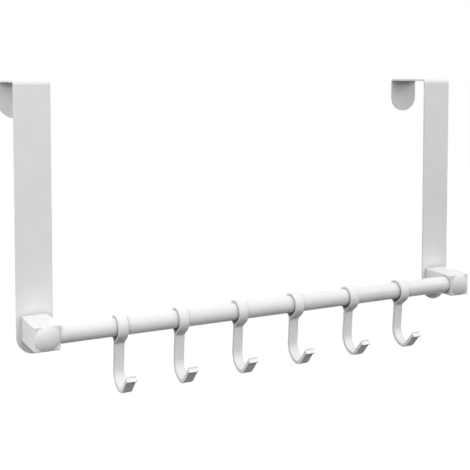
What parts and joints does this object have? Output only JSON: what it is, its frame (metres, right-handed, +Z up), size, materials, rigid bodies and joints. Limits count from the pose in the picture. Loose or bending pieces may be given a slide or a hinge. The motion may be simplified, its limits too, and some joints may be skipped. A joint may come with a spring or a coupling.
{
  "type": "over door hook rail",
  "caption": "Over door hook rail: flat straps bent over the door's top carry a round rail between moulded brackets, with J shaped hooks that slide along it.",
  "frame": {"origin": "the door's top front edge, midway between the two straps", "axes": "+X along the rail to the right as seen from the room, +Y from the room into the door, +Z up"},
  "size_m": [0.3828, 0.0989, 0.2194],
  "materials": {
    "white_steel": "smooth white powder coat",
    "white_plastic": "glossy moulded white",
    "zinc_steel": "zinc plated"
  },
  "bodies": {
    "frame": {"strap_left": "white_steel", "strap_right": "white_steel", "screw_left": "zinc_steel", "screw_right": "zinc_steel", "bracket_left": "white_plastic", "bracket_right": "white_plastic", "rail": "white_steel"},
    "hook_1": {"hook_1": "white_plastic"},
    "hook_2": {"hook_2": "white_plastic"},
    "hook_3": {"hook_3": "white_plastic"},
    "hook_4": {"hook_4": "white_plastic"},
    "hook_5": {"hook_5": "white_plastic"},
    "hook_6": {"hook_6": "white_plastic"}
  },
  "joints": [
    {"name": "hook_1_slide", "type": "slide", "parent": "frame", "child": "hook_1", "axis": [1, 0, 0], "range_m": [-0.0405, 0.0194]},
    {"name": "hook_2_slide", "type": "slide", "parent": "frame", "child": "hook_2", "axis": [1, 0, 0], "range_m": [-0.0194, 0.0203]},
    {"name": "hook_3_slide", "type": "slide", "parent": "frame", "child": "hook_3", "axis": [1, 0, 0], "range_m": [-0.0203, 0.0204]},
    {"name": "hook_4_slide", "type": "slide", "parent": "frame", "child": "hook_4", "axis": [1, 0, 0], "range_m": [-0.0204, 0.0216]},
    {"name": "hook_5_slide", "type": "slide", "parent": "frame", "child": "hook_5", "axis": [1, 0, 0], "range_m": [-0.0216, 0.0208]},
    {"name": "hook_6_slide", "type": "slide", "parent": "frame", "child": "hook_6", "axis": [1, 0, 0], "range_m": [-0.0208, 0.0439]}
  ]
}
